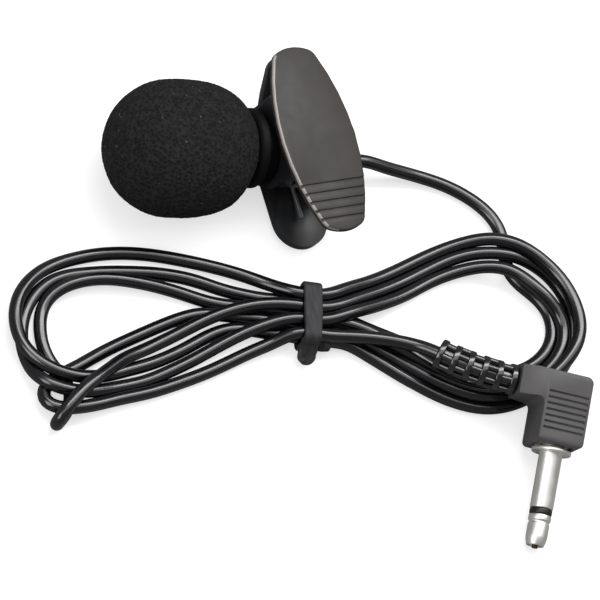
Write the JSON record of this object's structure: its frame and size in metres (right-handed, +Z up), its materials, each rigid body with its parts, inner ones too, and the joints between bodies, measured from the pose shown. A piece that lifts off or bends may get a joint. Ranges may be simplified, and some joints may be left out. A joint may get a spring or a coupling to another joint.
{
  "type": "lavalier microphone",
  "caption": "Clip-on lapel microphone with a foam windscreen, a sprung clothes clip, a thin cable folded into a tied hank, and a right-angle jack plug.",
  "frame": {"origin": "bottom centre of the microphone with its foam and clip, on the surface that the part lies on; the cable, its tie and the plug are not counted", "axes": "+X runs along the microphone from the foam to the cable, +Y towards the clip's jaws, +Z up"},
  "size_m": [0.0914, 0.0773, 0.0207],
  "materials": {
    "foam": "fine open-cell foam",
    "housing": "smooth black plastic",
    "pad": "satin warm grey plastic",
    "clip": "satin near-black plastic",
    "spring_steel": "drawn steel wire",
    "cable": "smooth black PVC",
    "tie": "dull dark grey rubber",
    "bush": "black rubber",
    "plug_grip": "fine-grained dark grey PVC",
    "relief": "black PVC",
    "nickel": "bright nickel plate",
    "aluminium": "satin",
    "brass": "turned and stamped",
    "copper": "bare copper strands",
    "solder": "dull solder",
    "felt": "thin felt",
    "cream": "cream moulded plastic",
    "black": "black moulded plastic",
    "board": "green circuit board"
  },
  "bodies": {
    "microphone": {"mic_housing": "housing", "rear_cap": "housing", "cable_bush": "bush", "front_grille": "aluminium", "capsule_felt": "felt", "capsule_can": "aluminium", "capsule_boot": "bush", "diaphragm_ring": "brass", "back_plate": "brass", "plate_holder": "cream", "capsule_board": "board", "amplifier_chip": "black", "signal_solder_joint": "solder", "screen_solder_joint": "solder", "mic_signal_conductor": "copper", "mic_screen_conductor": "copper", "cable_crimp": "spring_steel", "mic_end_jacket": "cable", "cable_mic_lead": "cable", "cable_hank": "cable", "cable_tie": "tie", "cable_plug_lead": "cable", "strain_relief": "relief", "plug_body": "plug_grip", "sleeve_contact": "nickel", "insulator_ring": "black", "tip_contact": "nickel", "plug_core": "cream", "tip_rod": "brass", "rod_insulator": "cream", "tip_lug": "brass", "sleeve_lug": "brass", "plug_signal_conductor": "copper", "plug_screen_conductor": "copper", "plug_end_jacket": "cable"},
    "foam": {"foam_windscreen": "foam"},
    "clip_back": {"clip_rear": "clip", "clip_spring": "spring_steel"},
    "clip_pad": {"clip_front": "pad"}
  },
  "joints": [
    {"name": "foam_slide", "type": "slide", "parent": "microphone", "child": "foam", "axis": [-0.9877, 0, 0.1564], "range_m": [0, 0.025]},
    {"name": "clip_turn", "type": "hinge", "parent": "microphone", "child": "clip_back", "pos_m": [0.01076, 0.00142, 0.00729], "axis": [0.9877, 0, -0.1564], "continuous": true},
    {"name": "clip_open", "type": "hinge", "parent": "clip_back", "child": "clip_pad", "pos_m": [0.01076, 0.00142, 0.00729], "axis": [0.9877, 0, -0.1564], "range_deg": [0, 30], "stiffness_Nm_per_rad": 0.01, "deforming": ["clip_spring"]}
  ]
}
